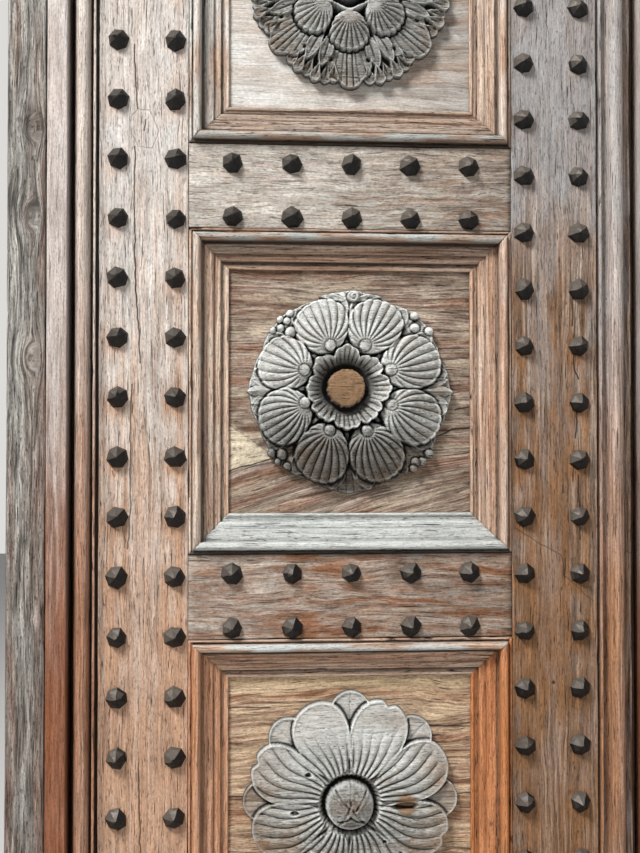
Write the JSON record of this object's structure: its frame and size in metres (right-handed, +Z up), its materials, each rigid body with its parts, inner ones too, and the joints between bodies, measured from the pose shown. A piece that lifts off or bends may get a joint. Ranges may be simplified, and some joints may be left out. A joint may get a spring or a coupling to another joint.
{
  "type": "carved temple door",
  "caption": "Single carved and studded timber door leaf with rosette panels, hung on strap hinges in its own frame, with a slide bolt behind.",
  "frame": {"origin": "middle of the underside of the threshold", "axes": "+X to the right seen from the carved front, -Y towards the viewer in front, +Z up"},
  "size_m": [1.0346, 0.153, 2.212],
  "materials": {
    "frame_wood": "weathered grey hardwood",
    "stop_wood": "worn oiled hardwood",
    "framing_wood": "weathered hardwood",
    "moulding_wood": "weathered moulded hardwood",
    "panel_wood": "weathered hardwood",
    "board_wood": "rough sawn hardwood",
    "carved_wood": "weathered carved hardwood",
    "stud_iron": "forged, dark and weathered",
    "hinge_iron": "forged, dark and weathered"
  },
  "bodies": {
    "frame": {"bolt_keeper": "hinge_iron", "bottom_pintle": "hinge_iron", "head_beam": "frame_wood", "head_stop": "stop_wood", "hinge_post": "frame_wood", "hinge_stop": "stop_wood", "lock_post": "frame_wood", "lock_stop": "stop_wood", "middle_pintle": "hinge_iron", "threshold": "frame_wood", "threshold_stop": "stop_wood", "top_pintle": "hinge_iron"},
    "leaf": {"back_board_1": "board_wood", "back_board_2": "board_wood", "back_board_3": "board_wood", "back_board_4": "board_wood", "back_board_5": "board_wood", "bolt_staples": "hinge_iron", "bottom_border": "moulding_wood", "bottom_rail": "framing_wood", "bottom_strap": "hinge_iron", "hinge_border": "moulding_wood", "hinge_stile": "framing_wood", "hinge_stile_studs": "stud_iron", "lock_border": "moulding_wood", "lock_edge_strip": "moulding_wood", "lock_stile": "framing_wood", "lock_stile_studs": "stud_iron", "lower_moulding_bottom": "moulding_wood", "lower_moulding_hinge": "moulding_wood", "lower_moulding_lock": "moulding_wood", "lower_moulding_top": "moulding_wood", "lower_panel": "panel_wood", "lower_rail": "framing_wood", "lower_rosette": "carved_wood", "middle_moulding_bottom": "moulding_wood", "middle_moulding_hinge": "moulding_wood", "middle_moulding_lock": "moulding_wood", "middle_moulding_top": "moulding_wood", "middle_panel": "panel_wood", "middle_rosette": "carved_wood", "middle_strap": "hinge_iron", "rail_studs": "stud_iron", "strap_nails": "hinge_iron", "top_border": "moulding_wood", "top_rail": "framing_wood", "top_strap": "hinge_iron", "upper_moulding_bottom": "moulding_wood", "upper_moulding_hinge": "moulding_wood", "upper_moulding_lock": "moulding_wood", "upper_moulding_top": "moulding_wood", "upper_panel": "panel_wood", "upper_rail": "framing_wood", "upper_rosette": "carved_wood"},
    "bolt": {"slide_bolt": "hinge_iron", "bolt_knob": "hinge_iron"}
  },
  "joints": [
    {"name": "leaf_swing", "type": "hinge", "parent": "frame", "child": "leaf", "pos_m": [-0.43925, 0.03, 0.3955], "axis": [0, 0, 1], "range_deg": [0, 100]},
    {"name": "bolt_slide", "type": "slide", "parent": "leaf", "child": "bolt", "axis": [1, 0, 0], "range_m": [0, 0.055]}
  ]
}
